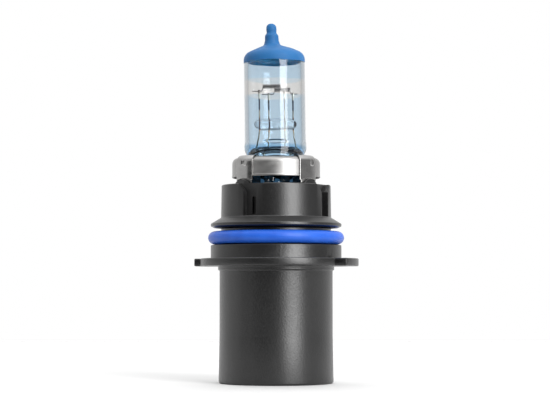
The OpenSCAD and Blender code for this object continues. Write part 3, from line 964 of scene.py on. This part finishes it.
def o_ring(material):
    """Moulded ring with a faint flash line round its middle."""
    section_r = (RING_HIGH.z - RING_LOW.z) / 2
    centre = Vector((NECK_R + section_r, (RING_HIGH.z + RING_LOW.z) / 2))
    outline = []
    for a in angles(72):
        r = section_r - 0.015 + 0.015 * math.exp(-((abs(math.sin(a)) / 0.06) ** 2))
        outline.append(centre + Vector((math.cos(a), math.sin(a))) * r)
    ring = lathe("o_ring_seal", outline, even(0, 360, 256)[:-1])
    settle(ring, material, "blue_silicone", "o_ring", angle=60)


# ---- Terminals

def blade_outline():
    half, low, high, taper = BLADE_HIGH.y, BLADE_LOW.z, BLADE_HIGH.z, 1.2
    return [(-half, high), (half, high), (half, low + taper), (half - taper, low),
            (taper - half, low), (-half, low + taper)]


def blade(name, thickness):
    low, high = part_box(name)
    x = (low.x + high.x) / 2 / MM
    upright = Matrix.Rotation(math.pi / 2, 4, "Z") @ Matrix.Rotation(math.pi / 2, 4, "X")
    return move(extrude(name + "_blade", blade_outline(), thickness), upright,
                Matrix.Translation((x, 0, 0)))


BLADES = ("high_beam_terminal", "common_terminal", "low_beam_terminal")


def terminals(material):
    for name in BLADES:
        low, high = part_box(name)
        thickness = (high.x - low.x) / MM
        piece = blade(name, thickness)
        settle(soften(piece, 0.16, 3), material, "tinned_brass", name)


def cast_seal(material):
    """Sealant in the well, risen a little against the wall and the blades."""
    low, top = SEAL_LOW.z, SEAL_HIGH.z
    disc = lathe("cast_sealant", rounded([
        (0, low, 0), (WELL_R - 0.02, low, 0.4), (WELL_R - 0.02, top, 0), (WELL_R - 0.5, top - 0.25, 0.8),
        (WELL_R - 1.6, top - 0.35, 2.0), (0, top - 0.35, 0)], 6), even(0, 360, 120)[:-1])
    combine(disc, "DIFFERENCE", [blade(name, 0.8) for name in BLADES])
    settle(disc, material, "sealant", "terminal_seal")


# ---- Studio

def studio_camera():
    """Long lens, a little below the object's middle and looking up at it."""
    place = Vector((-0.29, -480, -8.5))
    target = Vector((-0.29, 0, 14.6))
    data = bpy.data.cameras.new("camera")
    data.sensor_width = 36
    data.lens = 120.7
    camera = bpy.data.objects.new("camera", data)
    bpy.context.scene.collection.objects.link(camera)
    camera.location = place * MM
    camera.rotation_euler = (target - place).to_track_quat("-Z", "Y").to_euler()
    bpy.context.scene.camera = camera


def studio_floor():
    """Pale flat floor that the bulb stands on."""
    half_x, front, back, z = 0.8, -0.1, 0.4, BASE_LOW.z * MM
    mesh = bpy.data.meshes.new("floor")
    mesh.from_pydata([(-half_x, front, z), (half_x, front, z), (half_x, back, z), (-half_x, back, z)],
                     [], [(0, 1, 2, 3)])
    floor = bpy.data.objects.new("floor", mesh)
    bpy.context.scene.collection.objects.link(floor)
    paper = Shader("paper", Roughness=0.9)
    paper.mottled(paper.noise(0.02), (0.55, 0.55, 0.55), (0.57, 0.57, 0.57))
    mesh.materials.append(paper.material)


def softbox(low, high, radiance):
    """Upright soft light to the right of the camera, between two heights in metres."""
    azimuth, distance, width = 34.5, 0.8, 0.4
    data = bpy.data.lights.new("softbox", "AREA")
    data.shape = "RECTANGLE"
    data.size, data.size_y = width, high - low
    data.energy = radiance * math.pi * width * (high - low)
    light = bpy.data.objects.new("softbox", data)
    bpy.context.scene.collection.objects.link(light)
    a = math.radians(azimuth)
    light.location = (distance * math.sin(a), -distance * math.cos(a), (low + high) / 2)
    light.rotation_euler = (math.pi / 2, 0, a)


def studio_world():
    """White behind the object, softer light at its left, dimmer in front and at its right.

    Matt surfaces get more of the light from behind, and rays that go on through the glass see a
    white card that darkens to the sides, so that the tube's edges show against the backdrop.
    """
    front, left, right, above = 0.12, 0.65, 0.3, 1.7
    flag_x, flag_y = -0.94, -0.342
    matt_boost, card_inside = 2.5, 0.6
    world = bpy.data.worlds.new("studio")
    bpy.context.scene.world = world
    world.use_nodes = True
    tree = world.node_tree
    tree.nodes.clear()
    link = tree.links.new

    def node(kind, **settings):
        made = tree.nodes.new(kind)
        for key, value in settings.items():
            setattr(made, key, value)
        return made

    def maths(operation, a, b):
        made = node("ShaderNodeMath", operation=operation, use_clamp=False)
        for i, value in enumerate((a, b)):
            if isinstance(value, bpy.types.NodeSocket):
                link(value, made.inputs[i])
            else:
                made.inputs[i].default_value = value
        return made.outputs[0]

    def remap(value, old, new):
        made = node("ShaderNodeMapRange", interpolation_type="SMOOTHSTEP")
        link(value, made.inputs[0])
        for i, v in enumerate((*old, *new)):
            made.inputs[i + 1].default_value = v
        return made.outputs[0]

    split = node("ShaderNodeSeparateXYZ")
    link(node("ShaderNodeTexCoord").outputs["Generated"], split.inputs[0])
    x, y, z = split.outputs
    behind = remap(y, (0.05, 0.9), (0, 1))
    side = maths("ADD", remap(x, (-1, -0.6), (left - front, 0)), remap(x, (0.4, 1), (0, right - front)))
    level = maths("ADD", maths("ADD", side, front), remap(z, (0.3, 1), (0, above - front)))
    gap = maths("SUBTRACT", 1.0, level)
    glow = maths("ADD", level, maths("MULTIPLY", gap, behind))
    towards_flag = maths("ADD", maths("MULTIPLY", x, flag_x), maths("MULTIPLY", y, flag_y))
    glow = maths("MULTIPLY", glow, remap(towards_flag, (0.985, 0.993), (1, 0.1)))
    path = node("ShaderNodeLightPath")
    through = remap(maths("ABSOLUTE", y, 0), (0.84, 0.975), (0.5, 1))
    inside_wall = maths("GREATER_THAN", path.outputs["Glossy Depth"], 0.5)

    def switch(chosen, otherwise, test):
        step = maths("MULTIPLY", test, maths("SUBTRACT", chosen, otherwise))
        return maths("ADD", otherwise, step)

    through = switch(card_inside, through, inside_wall)
    for_matt = maths("ADD", glow, maths("MULTIPLY", behind, matt_boost))
    glow = switch(for_matt, glow, path.outputs["Is Diffuse Ray"])
    strength = switch(through, glow, path.outputs["Is Transmission Ray"])
    strength = switch(1.0, strength, path.outputs["Is Camera Ray"])
    background = node("ShaderNodeBackground")
    background.inputs["Color"].default_value = (1, 1, 1, 1)
    link(strength, background.inputs["Strength"])
    output = node("ShaderNodeOutputWorld")
    link(background.outputs[0], output.inputs["Surface"])


# ---- The bulb

studio_camera()
studio_floor()
softbox(-0.12, 0.1, 7.5)
softbox(0.1, 0.2, 6.5)
softbox(0.2, 1.1, 9.0)
studio_world()
bpy.context.scene.view_settings.view_transform = "Standard"

glass_capsule()
coating("coat_outside", COAT_T, 0.0, blue_coating("coating_outside", (0.02, 0.128, 0.33)))
# The coat's inner layer is a brighter, metallic copy of the outer lacquer: painted light on the inner side of
# the coat, seen through the glass.
coating("coat_inside_lit_copy", 0.0, -0.03, blue_coating("coating_inside_painted_light", (0.05, 0.6, 1.0), 1.0))
wire = tungsten()
high_live, low_common, high_common, low_live = LEADS.values()
filament("front_coil", "high_beam_filament", -3.1, 1.6, 44.8, high_live, high_common, wire)
filament("rear_coil", "low_beam_filament", -0.1, 4.1, 44.1, low_common, low_live, wire)
inner_metal = molybdenum()
for name, spec in LEADS.items():
    lead(name, spec, inner_metal)
glass_bridge()
outer_metal = plain_molybdenum()
outer_lead("high_live_outer_lead", -5.0, -7, outer_metal)
outer_lead("high_common_outer_lead", 2.5, 0, outer_metal)
outer_lead("low_common_outer_lead", -1.9, 0, outer_metal)
outer_lead("low_live_outer_lead", 5.5, 7, outer_metal)
strip = foil_metal()
for name in ("high_live_foil", "high_common_foil", "low_common_foil", "low_live_foil"):
    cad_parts[name].data.materials[0] = strip

sheet = stainless("stainless", (0.39, 0.386, 0.38), (0.37, 0.45), 0.0025)
bright_sheet = stainless("stainless_bright", (0.47, 0.465, 0.46), (0.12, 0.18), 0.0004)
cup(sheet)
clip(bright_sheet)
pinch_holder(sheet)
base(black_nylon())
o_ring(blue_silicone())
terminals(tinned_brass())
cast_seal(sealant())
